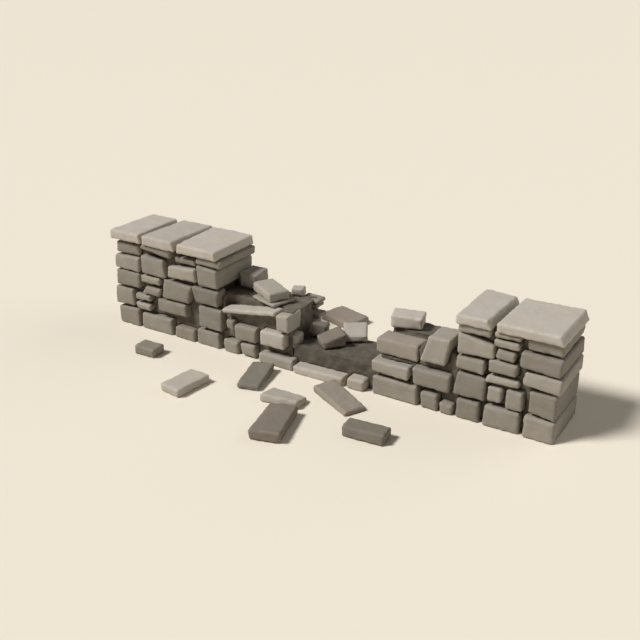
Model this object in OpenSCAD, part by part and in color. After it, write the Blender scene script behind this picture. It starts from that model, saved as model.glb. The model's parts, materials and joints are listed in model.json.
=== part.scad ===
// A ruined dry stone wall: two piers with cap slabs, steps down on both sides of a
// fallen middle, dark packing in the heart and stones tumbled in front.
// Lengths in mm. X runs along the wall, the front face looks to -Y, the floor is Z = 0.

/* [Wall] */

// thickness of the wall over its two stone faces
wall_t = 610; // [500:5:730]
// how far the packed heart lies back from the stone faces
heart_back = 60; // [40:2:80]
// how far a face stone reaches into the wall
stone_depth = 150; // [110:5:180]
// how far a corner stone reaches into the wall
quoin_depth = 205; // [170:5:260]
// open joint kept between stones laid by length
joint = 16; // [8:1:30]

/* [Left pier] */

// length of the left pier
left_pier_w = 1370; // [1100:10:1650]
// height of the left pier up to its caps
left_pier_h = 960; // [760:10:1200]
// thickness of the caps on the left pier
left_cap_t = 105; // [60:5:150]

/* [Left step] */

// length of the step beside the left pier
left_step_w = 930; // [750:10:1120]
// height of the heart in the left step
left_step_h = 580; // [470:5:700]
// length of the stone left standing at the back, against the left pier
remnant_w = 210; // [180:5:260]
// height of that stone
remnant_h = 165; // [130:5:200]
// depth of that stone
remnant_d = 235; // [180:5:280]
// length of the long slab slipped out of the top course
slab_len = 655; // [540:5:700]
// width of that slab
slab_w = 160; // [120:5:200]
// thickness of that slab
slab_t = 46; // [30:1:60]
// how steeply that slab tips, in degrees
slab_tip = 9; // [4:1:12]
// how far that slab stands out of the face
slab_out = 25; // [0:5:50]
// length of the stone that shows in the broken end of that step
step_end_w = 112; // [90:2:130]
// length of the loose block on top of that step
loose_block_len = 400; // [330:5:460]
// length of the thin loose slab under that block
loose_slab_len = 335; // [270:5:400]
// thickness of the flat slab lying on the step
flat_slab_t = 32; // [24:1:45]

/* [Fallen middle] */

// length of the fallen middle
gap_w = 840; // [680:10:1010]
// height of the heart left in the fallen middle
gap_h = 265; // [215:5:320]

/* [Right step] */

// length of the step beside the right pier
right_step_w = 830; // [660:10:1000]
// height of the heart in the right step
right_step_h = 590; // [470:5:710]

// how deep the wide set-back stone of the right step reaches from the face
wide_d = 270; // [220:5:330]
// how deep the leaning block of the right step reaches from the face
leaning_d = 280; // [200:5:340]

/* [Right pier] */

// length of the right pier
right_pier_w = 910; // [730:10:1100]
// height of the right pier up to its caps
right_pier_h = 905; // [720:5:1090]
// thickness of the caps on the right pier
right_cap_t = 95; // [60:5:150]

/* [Caps] */

// how far the caps stand out past the wall faces
cap_out = 24; // [0:1:50]

/* [Stone shape] */

// width of the worn edge on every stone
worn = 13; // [5:1:20]
// how far a corner of a stone may stray from square
stray = 7; // [0:1:12]

/* [Hidden] */

wall_len = left_pier_w + left_step_w + gap_w + right_step_w + right_pier_w;
x_left = -wall_len / 2;
x_step_l = x_left + left_pier_w;
x_gap = x_step_l + left_step_w;
x_step_r = x_gap + gap_w;
x_pier_r = x_step_r + right_step_w;
x_right = x_pier_r + right_pier_w;
face = wall_t / 2;
heart_face = face - heart_back;
// the wide set-back stone: its ends along the wall, its bed and top as shares of height
wide_x0 = x_step_r + right_step_w * 0.03;
wide_x1 = x_step_r + right_step_w * 0.53;
wide_bed = 0.682;
wide_top = 0.94;

heart_col = [0.36, 0.34, 0.29];
stone_col = [0.55, 0.52, 0.47];
light_col = [0.70, 0.67, 0.60];
dark_col = [0.46, 0.44, 0.40];
brown_col = [0.52, 0.47, 0.43];

// ---- one hewn stone: eight strayed corners, every edge worn ----

function at(row, k) = len(row) > k ? row[k] : 0;

// corner k of the block lo..hi, strayed; it never passes the floor nor the course top
function corner(lo, hi, k, j) = [
  for (a = [0:2])
    (floor(k / pow(2, a)) % 2 == 0 ? lo[a] : hi[a]) + (a == 2 ? 0 : j[k * 3 + a])
];

// the three points that a worn corner leaves, one on each face it meets
function worn_corner(p, k, c) = [
  for (a = [0:2]) [
    for (b = [0:2]) a == b ? p[b] : p[b] + (floor(k / pow(2, b)) % 2 == 0 ? c : -c)
  ]
];

function stone_points(corners, c) = [
  for (k = [0:7]) for (p = worn_corner(corners[k], k, c)) p
];

module solid_from(points) {
  hull() {
    polyhedron(points = points,
               faces = [for (i = [0:3:len(points) - 3]) [i, i + 1, i + 2]]);
  }
}

function straying(s, amount) = rands(-amount, amount, 24, s);

function wear(lo, hi) = min(worn, (hi[0] - lo[0]) / 5, (hi[1] - lo[1]) / 5, (hi[2] - lo[2]) / 4);

// a stone between two opposite corners, its beds flat
module block_between(lo, hi, s) {
  j = straying(s, stray);
  solid_from(stone_points([for (k = [0:7]) corner(lo, hi, k, j)], wear(lo, hi)));
}

// A face stone. Row: left, right, bottom, top as shares (%) of its section, then the
// lean of the left and right sides, the rise of the bed and of the top to the right
// (also %), and how far it stands proud of the face (mm).
module face_stone(x0, w, h, row, depth, s) {
  l = x0 + w * row[0] / 100;
  r = x0 + w * row[1] / 100;
  b = h * row[2] / 100;
  t = h * row[3] / 100;
  lean = [w * at(row, 4) / 100, w * at(row, 5) / 100];
  rise = [h * at(row, 6) / 100, h * at(row, 7) / 100];
  y = -face - at(row, 8);
  top = row[3] > 100 ? t * 2 : h;
  j = straying(s, min(stray, (t - b) / 14));
  pts = [
    for (k = [0:7]) let (
      right = k % 2,
      back = floor(k / 2) % 2,
      up = floor(k / 4),
      x = (right == 1 ? r : l) + up * lean[right],
      z = (up == 1 ? t : b) + right * rise[up],
      yy = back == 1 ? -face + depth : y
    ) [x + j[k * 3], yy + j[k * 3 + 1], z <= 0 ? 0 : min(z + j[k * 3 + 2], top)]
  ];
  solid_from(stone_points(pts, wear([l, y, b], [r, -face + depth, t])));
}

// rows of face stones on the front, the same on the back
module both_faces(x0, w, h, rows, s) {
  for (i = [0:len(rows) - 1]) {
    face_stone(x0, w, h, rows[i], stone_depth, s + i);
    mirror([0, 1, 0])
      face_stone(x0, w, h, rows[i], stone_depth, s + i);
  }
}

// rows of face stones on the back only
module back_face(x0, w, h, rows, s) {
  mirror([0, 1, 0])
    for (i = [0:len(rows) - 1])
      face_stone(x0, w, h, rows[i], stone_depth, s + i);
}

// corner stones on the front only
module front_face(x0, w, h, rows, s) {
  for (i = [0:len(rows) - 1])
    face_stone(x0, w, h, rows[i], quoin_depth, s + i);
}

// tie stones: they run through the wall from face to face and make its end
module ties(x0, w, h, rows, s) {
  for (i = [0:len(rows) - 1])
    face_stone(x0, w, h, rows[i], wall_t + at(rows[i], 8), s + i);
}

// A slab on top of a pier. Row: left and right shares (%), then in mm how far it is
// proud at the front, the skew of its right and left sides, and how far the top of its
// right side is worn back.
module cap(x0, w, z, t, row, s) {
  l = x0 + w * row[0] / 100;
  r = x0 + w * row[1] / 100;
  y = face + cap_out;
  j = straying(s, stray);
  pts = [
    for (k = [0:7]) let (
      right = k % 2,
      back = floor(k / 2) % 2,
      up = floor(k / 4),
      side = (right == 1 ? r : l) + back * at(row, 4 - right),
      x = side - right * up * at(row, 5),
      yy = back == 1 ? y : -y - row[2],
      zz = up == 1 ? z + t + j[k * 3 + 2] : z
    ) [x + j[k * 3], yy + j[k * 3 + 1], zz]
  ];
  solid_from(stone_points(pts, worn));
}

// A loose block on its flat bed. fall is how far the top falls towards +X and +Y, and
// narrow how much shorter it is at +X than at -X.
module loose(size, s, fall = [0, 0], narrow = 0, flat = false) {
  j = straying(s, min(stray, size[2] / 10));
  pts = [
    for (k = [0:7]) let (
      right = k % 2,
      back = floor(k / 2) % 2,
      up = floor(k / 4),
      x = (right - 0.5) * size[0],
      y = (back - 0.5) * (size[1] - narrow * right),
      top = size[2] - fall[0] * right - fall[1] * back + (flat ? 0 : j[k * 3 + 2]),
      z = up == 1 ? top : 0
    ) [x + j[k * 3], y + j[k * 3 + 1], z]
  ];
  solid_from(stone_points(pts, wear([0, 0, 0], size)));
}

// ---- tables of stones, in shares of their section ----

lp_base = [[24, 54, 0, 18], [57.5, 76, 0, 12.5], [79, 100, 0, 17]];
lp_base_tie = [[0, 21, 0, 20.5]];
lp_second = [
  [18.5, 33, 22, 29.5], [19, 33.5, 34, 40.5], [41, 69.5, 26, 40.5, 1], [82, 103, 21, 44.5]
];
lp_second_tie = [[-1.5, 16.5, 24, 43, 0, 0, 0, 0, 5]];
lp_third = [
  [26.5, 43, 42.5, 51, 3, 2], [26.5, 44.5, 56, 64],
  [47, 72, 43.5, 65, 1.5, 3, 0, -2.5], [78.5, 100.5, 47.5, 65, -2, 0]
];
lp_third_tie = [[0.5, 24, 47, 64.5]];
lp_fourth = [[27.5, 51, 66.5, 87.5, 0, -2, 0, -2.5], [53, 80, 69.5, 81.5, 1, 0, 0, 3]];
lp_fourth_tie = [
  [0.5, 25, 66.5, 82], [1.5, 24.5, 84.5, 96, 0, 0, 0, 0, -22],
  [83, 100.5, 67.5, 89.5, -1, 0, 0, -1]
];
lp_top = [[28.5, 57, 95, 99.6, 0, 0, -5, 0], [61, 80, 87.5, 94, 0, 0, 0, 0, -20]];
lp_top_tie = [[82, 104, 91.5, 99.6]];

ls_base = [[7, 26, 0, 22], [30, 48.5, 3, 24], [55, 98.5, 0, 18, 0, 0, 0, 0, 20]];
ls_upper = [[11.5, 21, 46, 62], [22.5, 50, 29, 55.5]];
ls_corner = [[57, 86.5, 34, 59.5, 0, 0, 0, 0, 10], [78, 94, 66.5, 95, 0, 0, 0, 3, 22]];
ls_back_corner = [
  [76, 93, 34, 60], [82, 99, 66, 73], [78, 96, 83, 89.5], [75, 98, 92, 98.5]
];

gap_front = [[0, 67, 0, 30, 0, 0, 0, 4, 40], [72.5, 93, 0, 40, 0, 0, 0, 0, 30]];

rs_base = [[2.5, 57, 0, 32], [62, 82, 0, 27], [84.5, 99, 0, 17]];
rs_upper = [[1, 46, 39.5, 60, 0, 0, 0, 0, 10], [51, 94, 36, 64]];

rp_base = [[3, 26, 0, 21], [31, 66, 0, 22]];
rp_base_tie = [[71, 100, 0, 22, 0, 0, 0, 0, 6]];
rp_second = [[-2, 30.5, 25, 49, 3, 0], [34, 47.5, 27.5, 43], [52, 68, 25, 44]];
rp_second_tie = [[73.5, 100, 25.5, 48.5, 0, 0, -1.5]];
rp_third = [[0, 28.5, 53, 66], [31.5, 63, 47, 54, 0, 0, 0, -1], [32.5, 60, 57.5, 70.5]];
rp_third_tie = [[67, 102, 53.5, 66.5, 0, 0, -2.5, 0, 4]];
rp_fourth = [[39.5, 57, 73.5, 82], [36, 60.5, 85.5, 92]];
rp_fourth_tie = [
  [0, 37, 69.5, 89.5, 0, 0, 2, -5], [62.5, 100.5, 69.5, 85.5, 0, 0, -1.5]
];
rp_top = [[36, 61, 94.5, 99.6]];
rp_top_tie = [[0, 32, 92, 99.6], [67, 100, 88, 99.6, 0, 0, 0, 0, -18]];

// ---- the heart of the wall ----

module heart(x0, x1, h) {
  translate([x0, -heart_face, 0])
    cube([x1 - x0, heart_face * 2, h]);
}

module heart_left_pier() {
  color(heart_col)
    difference() {
      heart(x_left + heart_back, x_step_l - heart_back, left_pier_h);
      left_pier_stones();
      left_long_slab();
    }
}

module left_pier_stones() {
  left_pier_base();
  left_pier_second();
  left_pier_third();
  left_pier_fourth();
  left_pier_top();
}

module heart_left_step() {
  color(heart_col)
    difference() {
      heart(x_step_l - heart_back, x_gap - heart_back, left_step_h);
      left_pier_stones();
      left_step_base();
      left_step_upper();
      left_step_corner();
      left_step_back_corner();
      left_step_end();
      left_long_slab();
      slab_room();
    }
}

module heart_gap() {
  color(heart_col)
    difference() {
      heart(x_gap - heart_back, x_step_r + heart_back, gap_h);
      gap_base();
      left_step_base();
      left_step_corner();
      left_step_back_corner();
      left_step_end();
      right_step_base();
      right_step_upper();
    }
}

// open room over the wide set-back stone, a little larger than its top
module wide_stone_room() {
  translate([wide_x0 - joint, -face, right_step_h * wide_top - worn])
    cube([wide_x1 - wide_x0 + joint * 2, wide_d + joint, right_step_h]);
}

module heart_right_step() {
  color(heart_col)
    difference() {
      heart(x_step_r + heart_back, x_pier_r + heart_back, right_step_h);
      right_step_base();
      right_step_upper();
      right_step_wide();
      wide_stone_room();
      right_leaning_block();
      right_pier_stones();
    }
}

module right_pier_stones() {
  right_pier_base();
  right_pier_second();
  right_pier_third();
  right_pier_fourth();
  right_pier_top();
}

module heart_right_pier() {
  color(heart_col)
    difference() {
      heart(x_pier_r + heart_back, x_right - heart_back, right_pier_h);
      right_pier_stones();
      right_leaning_block();
      right_step_base();
      right_step_upper();
    }
}

// ---- left pier ----

module left_pier_rows(rows, tie_rows, s) {
  both_faces(x_left, left_pier_w, left_pier_h, rows, s);
  ties(x_left, left_pier_w, left_pier_h, tie_rows, s + 4);
}

module left_pier_base() {
  color(stone_col) left_pier_rows(lp_base, lp_base_tie, 10);
}

module left_pier_second() {
  color(stone_col) left_pier_rows(lp_second, lp_second_tie, 20);
}

module left_pier_third() {
  color(stone_col) left_pier_rows(lp_third, lp_third_tie, 30);
}

module left_pier_fourth() {
  color(stone_col) left_pier_rows(lp_fourth, lp_fourth_tie, 40);
}

module left_pier_top() {
  color(stone_col) left_pier_rows(lp_top, lp_top_tie, 50);
}

module left_cap_outer() {
  color(light_col)
    cap(x_left, left_pier_w, left_pier_h, left_cap_t, [-1.5, 28.5, 0, -10, 20, 12], 80);
}

module left_cap_middle() {
  color(light_col)
    cap(x_left, left_pier_w, left_pier_h, left_cap_t, [31, 62.5, 4, 10, 20, 20], 81);
}

module left_cap_inner() {
  color(light_col)
    cap(x_left, left_pier_w, left_pier_h, left_cap_t, [65.5, 101.5, 10, 0, -24, 8], 82);
}

// ---- left step ----

module left_step_base() {
  color(stone_col)
    both_faces(x_step_l, left_step_w, left_step_h, ls_base, 90);
}

module left_step_upper() {
  color(stone_col)
    both_faces(x_step_l, left_step_w, left_step_h, ls_upper, 94);
}

module left_step_corner() {
  color(light_col)
    front_face(x_step_l, left_step_w, left_step_h, ls_corner, 98);
}

module left_step_back_corner() {
  color(stone_col)
    back_face(x_step_l, left_step_w, left_step_h, ls_back_corner, 106);
}

// where the slipped slab lies: middle of its thickness, its length along the wall
module at_slab() {
  translate([x_step_l + left_step_w * 0.43, -face + slab_w / 2 - slab_out,
             left_step_h * 0.869])
    rotate([0, -slab_tip, 0])
      children();
}

// a slab slipped from the top course, tipped and bare on top
module left_long_slab() {
  color(light_col)
    at_slab()
      translate([0, 0, -slab_t / 2])
        loose([slab_len, slab_w, slab_t], 101);
}

// open room over the slipped slab
module slab_room() {
  at_slab()
    translate([-slab_len / 2 - joint, -slab_w, 0])
      cube([slab_len + joint * 2, slab_w * 1.5 + joint, left_step_h]);
}

// a stone that shows only in the broken end of the step
module left_step_end() {
  color(light_col)
    block_between([x_gap - step_end_w, -face + 85, left_step_h * 0.33],
                  [x_gap - 6, -face + 195, left_step_h * 0.6], 108);
}

module left_remnant() {
  color(dark_col)
    translate([x_step_l + joint + remnant_w / 2, face - joint - remnant_d / 2,
               left_step_h])
      loose([remnant_w, remnant_d, remnant_h], 102);
}

// the stones lying on the step, from the flat slab up
module left_loose_slab() {
  color(stone_col)
    translate([x_step_l + left_step_w * 0.568, -64, left_step_h])
      rotate([0, 0, -18])
        loose([loose_slab_len, 275, flat_slab_t], 103, [0, 0], 0, true);
}

module left_loose_block() {
  color(light_col)
    translate([x_step_l + left_step_w * 0.51, -30, left_step_h + flat_slab_t])
      rotate([0, 0, -30])
        loose([loose_block_len, 235, 100], 104);
}

module left_small_block() {
  color(light_col)
    translate([x_step_l + left_step_w * 0.705, 190, left_step_h])
      rotate([0, 0, 20])
        loose([135, 120, 80], 105);
}

// ---- fallen middle ----

module gap_base() {
  color(light_col)
    both_faces(x_gap, gap_w, gap_h, gap_front, 110);
}

module gap_brown_block() {
  color(brown_col)
    translate([x_gap + gap_w * 0.335, -75, gap_h])
      rotate([0, 0, 52])
        loose([240, 180, 70], 112, [-60, -25]);
}

module gap_light_block() {
  color(light_col)
    translate([x_gap + gap_w * 0.485, 165, gap_h])
      rotate([0, 0, 33])
        loose([240, 180, 70], 113, [-10, -65]);
}

module gap_round_stone() {
  color(dark_col)
    translate([x_gap + gap_w * 0.075, 70, gap_h])
      rotate([0, 0, 20])
        loose([155, 150, 150], 114, [25, 20]);
}

// ---- right step ----

module right_step_base() {
  color(stone_col)
    both_faces(x_step_r, right_step_w, right_step_h, rs_base, 120);
}

module right_step_upper() {
  color(stone_col)
    both_faces(x_step_r, right_step_w, right_step_h, rs_upper, 124);
}

// a wide stone standing back from the face, bare on top
module right_step_wide() {
  color(brown_col)
    block_between([wide_x0, -heart_face - 4, right_step_h * wide_bed],
                  [wide_x1, -face + wide_d, right_step_h * wide_top], 127);
}

module right_leaning_block() {
  color(light_col)
    face_stone(x_step_r, right_step_w, right_step_h, [59, 88, 77.5, 121, 8, 5, 0, 2],
               leaning_d, 129);
}

module right_loose_block() {
  color(light_col)
    translate([x_step_r + right_step_w * 0.215, 75, right_step_h])
      rotate([0, 0, 15])
        loose([300, 200, 120], 130);
}

// ---- right pier ----

module right_pier_rows(rows, tie_rows, s) {
  both_faces(x_pier_r, right_pier_w, right_pier_h, rows, s);
  ties(x_pier_r, right_pier_w, right_pier_h, tie_rows, s + 4);
}

module right_pier_base() {
  color(stone_col) right_pier_rows(rp_base, rp_base_tie, 140);
}

module right_pier_second() {
  color(stone_col) right_pier_rows(rp_second, rp_second_tie, 150);
}

module right_pier_third() {
  color(stone_col) right_pier_rows(rp_third, rp_third_tie, 160);
}

module right_pier_fourth() {
  color(stone_col) right_pier_rows(rp_fourth, rp_fourth_tie, 170);
}

module right_pier_top() {
  color(stone_col) right_pier_rows(rp_top, rp_top_tie, 180);
}

module right_cap_inner() {
  color(light_col)
    cap(x_pier_r, right_pier_w, right_pier_h, right_cap_t, [-2, 33.5, 5, 0, 0, 25], 200);
}

module right_cap_outer() {
  color(light_col)
    cap(x_pier_r, right_pier_w, right_pier_h, right_cap_t, [38, 102, 5, 0, 0, 32], 201);
}

// ---- stones fallen off, lying on the floor ----

module fallen_stone_1() {
  color(dark_col)
    translate([-1615, -face - 442, 0]) rotate([0, 0, 3])
      loose([250, 185, 100], 210);
}

module fallen_stone_2() {
  color(light_col)
    translate([-835, -face - 815, 0]) rotate([0, 0, 84])
      loose([415, 245, 85], 211);
}

module fallen_stone_3() {
  color(dark_col)
    translate([-355, -face - 345, 0]) rotate([0, 0, -74])
      loose([450, 225, 90], 212, [35, 0]);
}

module fallen_stone_4() {
  color(light_col)
    translate([115, -face - 560, 0]) rotate([0, 0, 2])
      loose([390, 230, 75], 213, [-10, 20], 40);
}

module fallen_stone_5() {
  color(brown_col)
    translate([305, -face - 990, 0]) rotate([0, 0, 105])
      loose([520, 285, 110], 214, [0, 10], 20);
}

module fallen_stone_6() {
  color(brown_col)
    translate([545, -face - 295, 0]) rotate([0, 0, -27])
      loose([530, 235, 85], 215, [30, 0]);
}

module fallen_stone_7() {
  color(dark_col)
    translate([1060, -face - 710, 0]) rotate([0, 0, 6])
      loose([390, 180, 105], 216);
}

module fallen_stone_8() {
  color(brown_col)
    translate([-335, face + 700, 0]) rotate([0, 0, -15])
      loose([440, 320, 85], 217);
}

heart_left_pier();
heart_left_step();
heart_gap();
heart_right_step();
heart_right_pier();
left_pier_base();
left_pier_second();
left_pier_third();
left_pier_fourth();
left_pier_top();
left_cap_outer();
left_cap_middle();
left_cap_inner();
left_step_base();
left_step_upper();
left_step_corner();
left_step_back_corner();
left_step_end();
left_long_slab();
left_remnant();
left_loose_slab();
left_loose_block();
left_small_block();
gap_base();
gap_brown_block();
gap_light_block();
gap_round_stone();
right_step_base();
right_step_upper();
right_step_wide();
right_leaning_block();
right_loose_block();
right_pier_base();
right_pier_second();
right_pier_third();
right_pier_fourth();
right_pier_top();
right_cap_inner();
right_cap_outer();
fallen_stone_1();
fallen_stone_2();
fallen_stone_3();
fallen_stone_4();
fallen_stone_5();
fallen_stone_6();
fallen_stone_7();
fallen_stone_8();
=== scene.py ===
import json
import random

import bmesh
import bpy
import numpy as np
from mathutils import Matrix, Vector


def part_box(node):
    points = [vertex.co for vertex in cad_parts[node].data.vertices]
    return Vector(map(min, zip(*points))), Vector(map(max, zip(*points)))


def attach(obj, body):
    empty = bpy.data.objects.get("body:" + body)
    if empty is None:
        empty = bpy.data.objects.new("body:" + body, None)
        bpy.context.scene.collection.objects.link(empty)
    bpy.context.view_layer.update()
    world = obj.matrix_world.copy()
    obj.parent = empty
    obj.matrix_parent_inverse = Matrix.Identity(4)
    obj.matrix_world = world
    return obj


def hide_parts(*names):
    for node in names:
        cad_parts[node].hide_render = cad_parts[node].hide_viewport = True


# A ruined dry stone wall: hewn sandstone blocks and cap slabs round a heart of packed rubble.

# ---- camera ----

cam_data = bpy.data.cameras.new("camera")
cam = bpy.data.objects.new("camera", cam_data)
bpy.context.scene.collection.objects.link(cam)
cam_data.lens = 50.0
cam_data.sensor_width = 36.0
look_at = Vector((-0.039, 0.0, 0.455))
cam.location = (4.188, -6.746, 3.933)
back = (cam.location - look_at).normalized()
cam.rotation_euler = back.to_track_quat("Z", "Y").to_euler()
bpy.context.scene.camera = cam

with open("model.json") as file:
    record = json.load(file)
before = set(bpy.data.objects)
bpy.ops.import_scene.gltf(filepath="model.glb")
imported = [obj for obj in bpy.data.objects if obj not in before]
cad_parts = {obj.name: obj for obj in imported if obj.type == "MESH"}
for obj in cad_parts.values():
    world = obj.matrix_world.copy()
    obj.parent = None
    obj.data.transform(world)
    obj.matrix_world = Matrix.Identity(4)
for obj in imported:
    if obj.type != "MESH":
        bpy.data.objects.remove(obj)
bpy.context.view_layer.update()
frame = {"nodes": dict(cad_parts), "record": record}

# ---- shader maths ----


class Wire:
    """A socket that takes part in Python sums; each sum adds its Math node."""

    def __init__(self, sheet, socket):
        self.sheet = sheet
        self.socket = socket

    def _math(self, operation, a, b):
        return self.sheet.add("ShaderNodeMath", {"operation": operation}, [a, b])

    def __add__(self, other):
        return self._math("ADD", self, other)

    __radd__ = __add__

    def __sub__(self, other):
        return self._math("SUBTRACT", self, other)

    def __rsub__(self, other):
        return self._math("SUBTRACT", other, self)

    def __mul__(self, other):
        return self._math("MULTIPLY", self, other)

    __rmul__ = __mul__

    def clamped(self):
        return self.sheet.add("ShaderNodeClamp", {}, {"Value": self})


class Sheet:
    """The node tree of one finish."""

    def __init__(self, name):
        self.material = bpy.data.materials.new(name)
        self.material.use_nodes = True
        self.tree = self.material.node_tree
        self.shader = self.tree.nodes["Principled BSDF"]

    def add(self, kind, settings, sockets, out=0):
        """Adds a node: its type, its settings, then the values or wires of its sockets."""
        node = self.tree.nodes.new(kind)
        for key, value in settings.items():
            setattr(node, key, value)
        pairs = enumerate(sockets) if isinstance(sockets, list) else sockets.items()
        for key, value in pairs:
            self.plug(node.inputs[key], value)
        return Wire(self, node.outputs[out])

    def plug(self, socket, value):
        if isinstance(value, Wire):
            self.tree.links.new(value.socket, socket)
        else:
            socket.default_value = value

    def blend(self, amount, low, high, how="MIX"):
        """low to high as amount goes from 0 to 1, as colours."""
        node = self.tree.nodes.new("ShaderNodeMix")
        node.data_type = "RGBA"
        node.blend_type = how
        self.plug(node.inputs[0], amount)
        self.plug(node.inputs[6], low)
        self.plug(node.inputs[7], high)
        return Wire(self, node.outputs[2])

    def place(self, stretch=(1, 1, 1)):
        """Object coordinates, stretched."""
        where = self.add("ShaderNodeTexCoord", {}, {}, "Object")
        return self.add("ShaderNodeVectorMath", {"operation": "MULTIPLY"}, [where, stretch])

    def noise(self, scale, detail=3.0, rough=0.55, stretch=(1, 1, 1)):
        return self.add("ShaderNodeTexNoise", {},
                        {"Vector": self.place(stretch), "Scale": scale, "Detail": detail,
                         "Roughness": rough})

    def ramp(self, amount, low, high):
        """0 below low, 1 above high."""
        return self.add("ShaderNodeMapRange", {"interpolation_type": "SMOOTHSTEP"},
                        {"Value": amount, "From Min": low, "From Max": high})

    def carried(self, name):
        """A value that the mesh itself carries."""
        return self.add("ShaderNodeAttribute", {"attribute_name": name}, {}, "Fac")

    def bump(self, height, depth, under=None):
        sockets = {"Height": height, "Distance": depth, "Strength": 1.0}
        if under:
            sockets["Normal"] = under
        return self.add("ShaderNodeBump", {}, sockets)


def rgb(r, g, b):
    return (r, g, b, 1.0)


# ---- finishes ----

# per finish: the colour in the shade of its range, and the colour at the light end
STONES = {
    "light_stone": (rgb(0.36, 0.33, 0.285), rgb(0.52, 0.48, 0.425)),
    "face_stone": (rgb(0.215, 0.195, 0.162), rgb(0.37, 0.34, 0.292)),
    "dark_stone": (rgb(0.14, 0.126, 0.104), rgb(0.24, 0.217, 0.181)),
    "brown_stone": (rgb(0.215, 0.185, 0.152), rgb(0.375, 0.33, 0.277)),
}
HEART = (rgb(0.08, 0.07, 0.056), rgb(0.17, 0.15, 0.12))

# how light the stones that face the front are within their finish, from left to right;
# the other stones draw a tone of their own
FRONT_TONES = {
    "left_pier_base": [0.35, 0.5, 0.3, 0.4],
    "left_pier_second": [0.45, 0.85, 0.6, 0.3, 0.2],
    "left_pier_third": [0.25, 0.75, 0.5, 0.3, 0.0],
    "left_pier_fourth": [0.7, 0.3, 0.45, 1.05, 0.4],
    "left_pier_top": [0.2, 0.25, 0.3],
    "left_step_base": [0.6, 0.65, 0.95],
    "left_step_upper": [0.25, 0.45],
    "left_step_corner": [0.75, 0.1],
    "gap_base": [0.65, 0.5],
    "right_step_base": [0.6, 0.3, 0.3],
    "right_step_upper": [1.15, 0.35],
    "right_pier_base": [0.15, 0.4, 0.55],
    "right_pier_second": [0.1, 0.65, 0.4, 0.15],
    "right_pier_third": [0.4, 0.5, 0.9, 0.75],
    "right_pier_fourth": [0.8, 0.4, 0.7, 0.15],
    "right_pier_top": [0.75, 0.6, 0.3],
    "left_cap_outer": [0.85],
    "left_cap_middle": [0.6],
    "left_cap_inner": [0.9],
    "right_cap_inner": [0.85],
    "right_cap_outer": [0.9],
    "left_loose_block": [0.15],
    "left_remnant": [0.9],
    "right_loose_block": [0.9],
    "right_leaning_block": [0.0],
    "gap_brown_block": [0.0],
    "fallen_stone_1": [0.3],
    "fallen_stone_2": [0.72],
    "fallen_stone_5": [0.0],
}

# the same for the masses of the heart
HEART_TONES = {"heart_left_step": 0.85, "heart_right_step": 0.6, "heart_gap": 0.42}


def sandstone(name, low, high):
    """Split sandstone: a tone for each stone, faint bedding, grit, pale worn edges, and painted
    shade darkening its hollows.
    """
    s = Sheet(name)
    tone = s.carried("tone")
    wear = s.carried("wear")
    cloud = s.noise(7.0, 4.0, 0.6)
    beds = s.noise(4.0, 3.0, 0.6, (1.0, 1.0, 9.0))
    grit = s.noise(90.0, 4.0, 0.7)
    speck = s.noise(260.0, 2.0, 0.6)
    body = s.blend((tone + (cloud - 0.5) * 0.55 + (beds - 0.5) * 0.35).clamped(), low, high)
    warm = s.blend(s.ramp(s.noise(3.0, 3.0), 0.5, 0.72) * 0.35, body,
                   rgb(1.12, 0.98, 0.82), "MULTIPLY")
    # painted shade: the hollows of each stone's surface are darkened where shade would fall
    hollow_shade = s.ramp(0.5 - wear + (cloud - 0.5) * 0.3, 0.05, 0.5) * 0.45
    hollow_shaded = s.blend(hollow_shade, warm, rgb(0.5, 0.47, 0.42), "MULTIPLY")
    rubbed = s.ramp(wear + (grit - 0.5) * 0.45, 0.62, 1.0) * 0.4
    edged = s.blend(rubbed, hollow_shaded, rgb(1.32, 1.3, 1.26), "MULTIPLY")
    grains = s.blend(s.ramp(speck, 0.56, 0.70) * 0.3, edged, rgb(0.62, 0.6, 0.56), "MULTIPLY")
    s.plug(s.shader.inputs["Base Color"], grains)
    s.plug(s.shader.inputs["Roughness"], 0.86 + (grit - 0.5) * 0.16)
    s.shader.inputs["Specular IOR Level"].default_value = 0.25
    coarse = s.bump(cloud * 0.5 + beds * 0.5, 0.006)
    fine = s.bump(grit, 0.0022, coarse)
    s.plug(s.shader.inputs["Normal"], s.bump(speck, 0.0006, fine))
    return s.material


def rubble(name, low, high):
    """The dark packing of small stones and earth in the heart of the wall, with painted shade in
    the hollows between them.
    """
    s = Sheet(name)
    wear = s.carried("wear")
    cells = s.add("ShaderNodeTexVoronoi", {"feature": "F1"},
                  {"Vector": s.place(), "Scale": 14.0, "Randomness": 0.9}, "Color")
    each = s.add("ShaderNodeSeparateColor", {}, {"Color": cells}, "Red")
    cloud = s.noise(9.0, 4.0, 0.6)
    grit = s.noise(110.0, 4.0, 0.7)
    tone = s.carried("tone")
    body = s.blend((tone + (each - 0.5) * 0.35 + (cloud - 0.5) * 0.65).clamped(), low, high)
    # painted shade: the hollows between the packing stones are darkened
    hollow_shade = s.ramp(0.5 - wear, 0.02, 0.3) * 0.25
    s.plug(s.shader.inputs["Base Color"],
           s.blend(hollow_shade, body, rgb(0.55, 0.52, 0.48), "MULTIPLY"))
    s.plug(s.shader.inputs["Roughness"], 0.9 + (grit - 0.5) * 0.12)
    s.shader.inputs["Specular IOR Level"].default_value = 0.2
    coarse = s.bump(cloud, 0.008)
    s.plug(s.shader.inputs["Normal"], s.bump(grit, 0.003, coarse))
    return s.material


FINISH = {slot: sandstone(slot, *pair) for slot, pair in STONES.items()}
FINISH["heart"] = rubble("heart", *HEART)

# ---- working by hand ----


def only(ob):
    """Deselects everything and takes ob in hand."""
    bpy.ops.object.select_all(action="DESELECT")
    ob.select_set(True)
    bpy.context.view_layer.objects.active = ob


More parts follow.
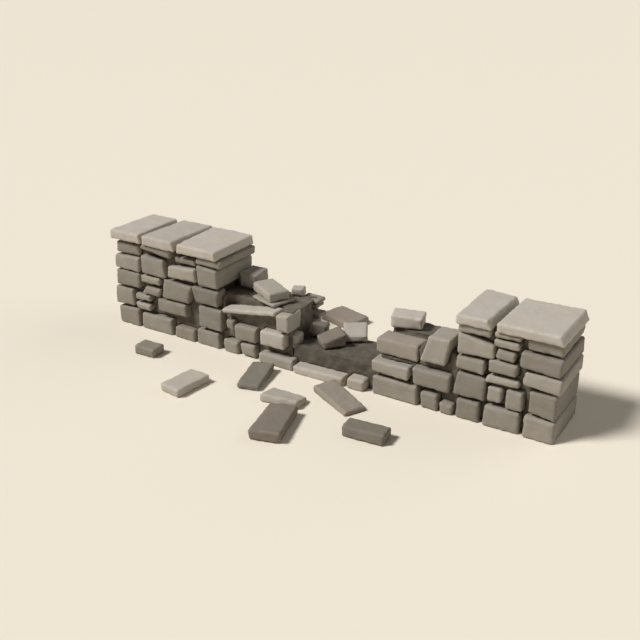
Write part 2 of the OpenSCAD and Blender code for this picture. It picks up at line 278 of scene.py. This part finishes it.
def copy_of(node):
    """A piece of its own from the mesh of a node, its triangles merged."""
    ob = frame["nodes"][node].copy()
    ob.data = ob.data.copy()
    ob.parent = None
    ob.name = node + "_piece"
    for key in list(ob.keys()):
        del ob[key]
    bpy.context.scene.collection.objects.link(ob)
    ob.data.materials.clear()
    only(ob)
    bpy.ops.object.mode_set(mode="EDIT")
    bpy.ops.mesh.select_all(action="SELECT")
    bpy.ops.mesh.remove_doubles(threshold=MERGE)
    bpy.ops.object.mode_set(mode="OBJECT")
    return ob


def loose_parts(ob):
    """Separates the stones of a course and returns them."""
    only(ob)
    bpy.ops.mesh.separate(type="LOOSE")
    return list(bpy.context.selected_objects)


def middle(ob):
    return sum((v.co for v in ob.data.vertices), Vector()) / len(ob.data.vertices)


def at_back(ob):
    return min(v.co.y for v in ob.data.vertices) > 0


def apply_all(ob):
    only(ob)
    for modifier in [m.name for m in ob.modifiers]:
        bpy.ops.object.modifier_apply(modifier=modifier)


def stone_axes(bm):
    """The three directions that a block is cut along."""
    ways = []
    for e in sorted(bm.edges, key=lambda e: -e.calc_length()):
        way = (e.verts[1].co - e.verts[0].co).normalized()
        if all(abs(way.dot(w)) < 0.5 for w in ways):
            ways.append(way)
        if len(ways) == 3:
            break
    return ways


# stones are cut into cells about this wide, in metres
CELL = 0.024
# an edge runs along one of a block's three ways if their cosine is above this
ALONG = 0.86
# vertices of a node's mesh nearer than this are merged
MERGE = 0.0002


def score_stone(ob):
    """Cuts a chamfered block into cells about CELL wide, and marks its arrises."""
    only(ob)
    bpy.ops.object.mode_set(mode="EDIT")
    bpy.ops.mesh.select_all(action="SELECT")
    bpy.ops.mesh.tris_convert_to_quads(face_threshold=0.5, shape_threshold=3.1)
    bm = bmesh.from_edit_mesh(ob.data)
    ways = stone_axes(bm)
    for way in ways:
        bm = bmesh.from_edit_mesh(ob.data)
        longest = 0.0
        for e in bm.edges:
            run = e.verts[1].co - e.verts[0].co
            chosen = run.length > 0 and abs(run.normalized().dot(way)) > ALONG
            e.select = chosen
            if chosen:
                longest = max(longest, run.length)
        bmesh.update_edit_mesh(ob.data)
        cuts = max(1, round(longest / CELL) - 1)
        bpy.ops.mesh.subdivide(number_cuts=cuts, quadcorner="INNERVERT")
    bm = bmesh.from_edit_mesh(ob.data)
    arris = [
        v.index for v in bm.verts
        if any(all(abs((e.verts[1].co - e.verts[0].co).normalized().dot(w)) < ALONG for w in ways)
               for e in v.link_edges)
    ]
    bpy.ops.object.mode_set(mode="OBJECT")
    group = ob.vertex_groups.new(name="arris")
    group.add(arris, 1.0, "REPLACE")


def set_tone(ob, value):
    tones = ob.data.attributes.new("tone", "FLOAT", "POINT")
    tones.data.foreach_set("value", [value] * len(ob.data.vertices))


def noise_texture(name, scale, depth=2):
    t = bpy.data.textures.new(name, "CLOUDS")
    t.noise_scale = scale
    t.noise_depth = depth
    return t


SWELL = noise_texture("swell", 0.11, 1)
PITS = noise_texture("pits", 0.035, 3)
CHIPS = noise_texture("chips", 0.05, 2)
PACKING = bpy.data.textures.new("packing", "VORONOI")
PACKING.noise_scale = 0.085


# how deep each texture cuts, in metres, and the grey that stays where it is
SWELL_DEPTH, SWELL_LEVEL = 0.009, 0.55
# stones of a course swell outwards, so that their joints stay narrow
COURSE_SWELL_LEVEL = 0.15
CHIP_DEPTH, CHIP_LEVEL = 0.013, 0.62
PIT_DEPTH, PIT_LEVEL = 0.0035, 0.55
PACKING_DEPTH, PACKING_LEVEL = -0.018, 0.0
RUBBLE_PIT_DEPTH, RUBBLE_PIT_LEVEL = 0.006, 0.9
RUBBLE_CELL = 0.013


def displace(ob, texture, depth, level, group=""):
    m = ob.modifiers.new(texture.name, "DISPLACE")
    m.texture = texture
    m.texture_coords = "LOCAL"
    m.strength = depth
    m.mid_level = level
    m.vertex_group = group


def mesh_arrays(me):
    count = len(me.vertices)
    co = np.empty(count * 3, np.float32)
    me.vertices.foreach_get("co", co)
    normal = np.empty(count * 3, np.float32)
    me.vertices.foreach_get("normal", normal)
    edges = np.empty(len(me.edges) * 2, np.int32)
    me.edges.foreach_get("vertices", edges)
    return co.reshape(-1, 3), normal.reshape(-1, 3), edges.reshape(-1, 2)


# how strongly a bend in the surface shows, as pale wear on arrises and as painted shade in
# hollows
WEAR_AND_SHADE_GAIN = 2.6


def mark_wear(ob, passes=2):
    """Writes the bend of the surface: 1 on arrises that stand out, worn pale, 0.5 on flats, 0 in
    hollows, darkened with painted shade.
    """
    co, normal, edges = mesh_arrays(ob.data)
    a, b = edges[:, 0], edges[:, 1]
    run = co[b] - co[a]
    length = np.maximum(np.linalg.norm(run, axis=1), 1e-6)
    count = np.bincount(a, minlength=len(co)) + np.bincount(b, minlength=len(co))
    count = np.maximum(count, 1)
    out = np.zeros(len(co))
    np.add.at(out, a, -(run * normal[a]).sum(1) / length)
    np.add.at(out, b, (run * normal[b]).sum(1) / length)
    out /= count
    for _ in range(passes):
        spread = np.zeros(len(co))
        np.add.at(spread, a, out[b])
        np.add.at(spread, b, out[a])
        out = 0.5 * out + 0.5 * spread / count
    wear = ob.data.attributes.new("wear", "FLOAT", "POINT")
    wear.data.foreach_set("value", np.clip(0.5 + out * WEAR_AND_SHADE_GAIN, 0, 1).astype(np.float32))


def keep_in(ob, low, high):
    """Holds the piece inside the box that its node fills."""
    co, _, _ = mesh_arrays(ob.data)
    co = np.clip(co, np.array(low), np.array(high))
    ob.data.vertices.foreach_set("co", co.astype(np.float32).ravel())
    ob.data.update()


def finish_piece(ob, node, slot):
    ob.data.materials.clear()
    ob.data.materials.append(FINISH[slot])
    only(ob)
    bpy.ops.object.shade_smooth()
    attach(ob, "root")
    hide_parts(node)


def carve_stones(node, slot, seed):
    """The stones of one node, hewn: uneven faces, chipped arrises, small pits."""
    draw = random.Random(seed)
    parts = loose_parts(copy_of(node))
    parts.sort(key=lambda o: (at_back(o), round(middle(o).x, 3), middle(o).z))
    tones = FRONT_TONES.get(node, [])
    for number, part in enumerate(parts):
        score_stone(part)
        set_tone(part, tones[number] if number < len(tones) else draw.uniform(0.3, 0.75))
    bpy.ops.object.select_all(action="DESELECT")
    for part in parts:
        part.select_set(True)
    bpy.context.view_layer.objects.active = parts[0]
    if len(parts) > 1:
        bpy.ops.object.join()
    ob = bpy.context.view_layer.objects.active
    ob.name = node + "_stones"
    finer = ob.modifiers.new("finer", "SUBSURF")
    finer.subdivision_type = "SIMPLE"
    finer.levels = finer.render_levels = 1
    displace(ob, SWELL, SWELL_DEPTH, COURSE_SWELL_LEVEL if len(parts) > 1 else SWELL_LEVEL)
    displace(ob, CHIPS, CHIP_DEPTH, CHIP_LEVEL, "arris")
    displace(ob, PITS, PIT_DEPTH, PIT_LEVEL)
    apply_all(ob)
    keep_in(ob, *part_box(node))
    mark_wear(ob)
    finish_piece(ob, node, slot)
    return ob


def pack_heart(node):
    """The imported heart: its plain mass broken up into small rough stones."""
    ob = copy_of(node)
    ob.name = node + "_rubble"
    remesh = ob.modifiers.new("remesh", "REMESH")
    remesh.mode = "VOXEL"
    remesh.voxel_size = RUBBLE_CELL
    displace(ob, PACKING, PACKING_DEPTH, PACKING_LEVEL)
    displace(ob, PITS, RUBBLE_PIT_DEPTH, RUBBLE_PIT_LEVEL)
    apply_all(ob)
    set_tone(ob, HEART_TONES.get(node, 0.5))
    keep_in(ob, *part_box(node))
    mark_wear(ob)
    finish_piece(ob, node, "heart")
    return ob


slots = {row["node"]: row["material_slot"] for row in frame["record"]["subparts"]}
for number, (node, slot) in enumerate(sorted(slots.items())):
    if slot == "heart":
        pack_heart(node)
    else:
        carve_stones(node, slot, number)

# ---- studio: pale floor, a soft sun from the left front, a fainter one from the back right ----

FLOOR_SIZE = 600
SKY_LIGHT = 0.135
LAMP_COLOUR = (1.0, 0.985, 0.965)

bpy.context.scene.view_settings.view_transform = "Standard"

world = bpy.data.worlds.new("studio")
bpy.context.scene.world = world
world.use_nodes = True
sky = world.node_tree.nodes["Background"]
sky.inputs["Color"].default_value = (1.0, 0.96, 0.9, 1)
sky.inputs["Strength"].default_value = SKY_LIGHT
# the camera sees the colour of the floor past its edge, and the sky's light stays faint
seen = world.node_tree.nodes.new("ShaderNodeBackground")
seen.inputs["Color"].default_value = (0.87, 0.79, 0.65, 1)
seen.inputs["Strength"].default_value = 1.0
path = world.node_tree.nodes.new("ShaderNodeLightPath")
pick = world.node_tree.nodes.new("ShaderNodeMixShader")
world.node_tree.links.new(path.outputs["Is Camera Ray"], pick.inputs[0])
world.node_tree.links.new(sky.outputs[0], pick.inputs[1])
world.node_tree.links.new(seen.outputs[0], pick.inputs[2])
world.node_tree.links.new(pick.outputs[0], world.node_tree.nodes["World Output"].inputs[0])

bpy.ops.mesh.primitive_plane_add(size=FLOOR_SIZE, location=(0, 0, 0))
floor = bpy.context.object
floor.name = "floor"
floor_finish = bpy.data.materials.new("floor")
floor_finish.use_nodes = True
floor_shader = floor_finish.node_tree.nodes["Principled BSDF"]
floor_shader.inputs["Base Color"].default_value = (0.865, 0.798, 0.685, 1)
floor_shader.inputs["Roughness"].default_value = 0.95
floor_shader.inputs["Specular IOR Level"].default_value = 0.1
floor.data.materials.append(floor_finish)


def soft_sun(name, towards, strength, angle, colour):
    """A sun that shines from the direction towards, its edge as soft as angle."""
    sun = bpy.data.lights.new(name, "SUN")
    sun.energy = strength
    sun.angle = angle
    sun.color = colour
    ob = bpy.data.objects.new(name, sun)
    bpy.context.scene.collection.objects.link(ob)
    ob.rotation_euler = Vector(towards).to_track_quat("Z", "Y").to_euler()


soft_sun("key", (-0.68, -0.73, 1.19), 3.2, 0.26, LAMP_COLOUR)
soft_sun("fill", (0.66, 0.75, 0.45), 0.72, 1.0, LAMP_COLOUR)
